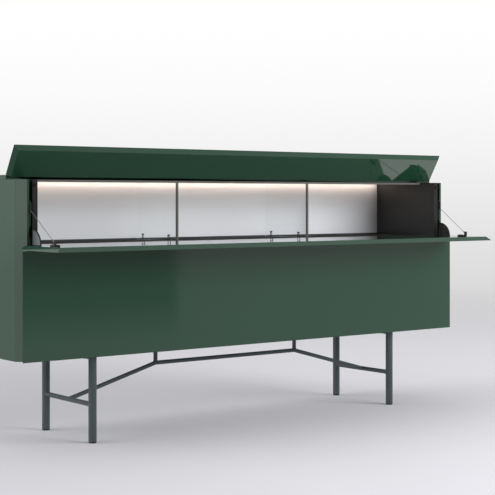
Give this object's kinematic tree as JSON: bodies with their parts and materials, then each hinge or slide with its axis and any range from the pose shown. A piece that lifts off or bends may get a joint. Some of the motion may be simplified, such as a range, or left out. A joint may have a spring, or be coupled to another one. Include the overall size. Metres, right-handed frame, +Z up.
{
  "type": "buffet cabinet",
  "caption": "Long lacquered sideboard on a round-tube base, with a lift-up lid strip, a drop-down bar flap on cable stays, a lit bar compartment with glass dividers and a drop-down lower front.",
  "frame": {"origin": "on the floor, in the middle of the open cabinet's outline seen from above", "axes": "+X along the width to the right, +Y from the front to the back, +Z up"},
  "size_m": [2.1, 0.712, 1.0708],
  "materials": {
    "lacquer": "bottle-green lacquered board, satin to glossy",
    "carcass": "dark brown-black melamine board, matte",
    "inlay": "dark matte floor inlay",
    "satin_mirror": "light satin-etched mirror glass",
    "clear_glass": "clear float glass",
    "dark_metal": "dark grey painted steel tube, satin",
    "satin_steel": "satin steel",
    "aluminium": "satin aluminium",
    "board": "white plastic",
    "diffuser": "opal diffuser, lit warm white",
    "black_plastic": "black plastic, satin",
    "black_rubber": "black rubber"
  },
  "bodies": {
    "cabinet": {"side_left": "lacquer", "side_right": "lacquer", "inner_side_left": "carcass", "inner_side_right": "carcass", "bottom_panel": "lacquer", "middle_panel": "lacquer", "bar_floor_inlay": "inlay", "back_panel": "lacquer", "bar_back_panel": "satin_mirror", "fixed_top": "lacquer", "front_rail": "dark_metal", "divider_post_left": "dark_metal", "divider_post_right": "dark_metal", "divider_glass_left": "clear_glass", "divider_glass_right": "clear_glass", "glass_clamps": "satin_steel", "led_channel": "aluminium", "led_strip": "board", "led_diffuser": "diffuser", "led_power_supply": "board", "led_wire": "black_plastic", "cable_grommet": "black_plastic", "partition_left": "carcass", "partition_right": "carcass", "shelves": "carcass", "shelf_pins": "satin_steel", "damper_left": "aluminium", "damper_right": "aluminium", "damper_head_left": "black_plastic", "damper_head_right": "black_plastic", "flap_housings": "black_plastic", "hinge_arms": "satin_steel", "lid_hinge_bases": "dark_metal", "buffers": "black_rubber", "door_catches": "black_plastic", "leg_front_left": "dark_metal", "leg_front_right": "dark_metal", "leg_rear_left": "dark_metal", "leg_rear_right": "dark_metal", "top_rail_left": "dark_metal", "top_rail_right": "dark_metal", "crossbar_left": "dark_metal", "crossbar_right": "dark_metal", "spine_left": "dark_metal", "spine_center": "dark_metal", "spine_right": "dark_metal", "uprights": "dark_metal", "foot_pads": "black_rubber", "frame_screws": "satin_steel"},
    "flap": {"bar_flap": "lacquer", "flap_quadrants": "black_plastic", "cable_brackets": "black_plastic", "flap_pins": "satin_steel", "cable_left": "satin_steel", "cable_right": "satin_steel"},
    "lid": {"lid": "lacquer", "lid_hinge_leaves": "dark_metal", "lid_hinge_pins": "satin_steel"},
    "lower_front": {"lower_front": "lacquer", "lower_front_pins": "satin_steel"}
  },
  "joints": [
    {"name": "flap_hinge", "type": "hinge", "parent": "cabinet", "child": "flap", "pos_m": [0, -0.106, 0.712], "axis": [-1, 0, 0], "range_deg": [0, 90], "deforming": ["cable_left", "cable_right"]},
    {"name": "lid_hinge", "type": "hinge", "parent": "cabinet", "child": "lid", "pos_m": [0, 0.01, 0.963], "axis": [1, 0, 0], "range_deg": [0, 59]},
    {"name": "lower_front_hinge", "type": "hinge", "parent": "cabinet", "child": "lower_front", "pos_m": [0, -0.106, 0.324], "axis": [1, 0, 0], "range_deg": [0, 90]}
  ]
}
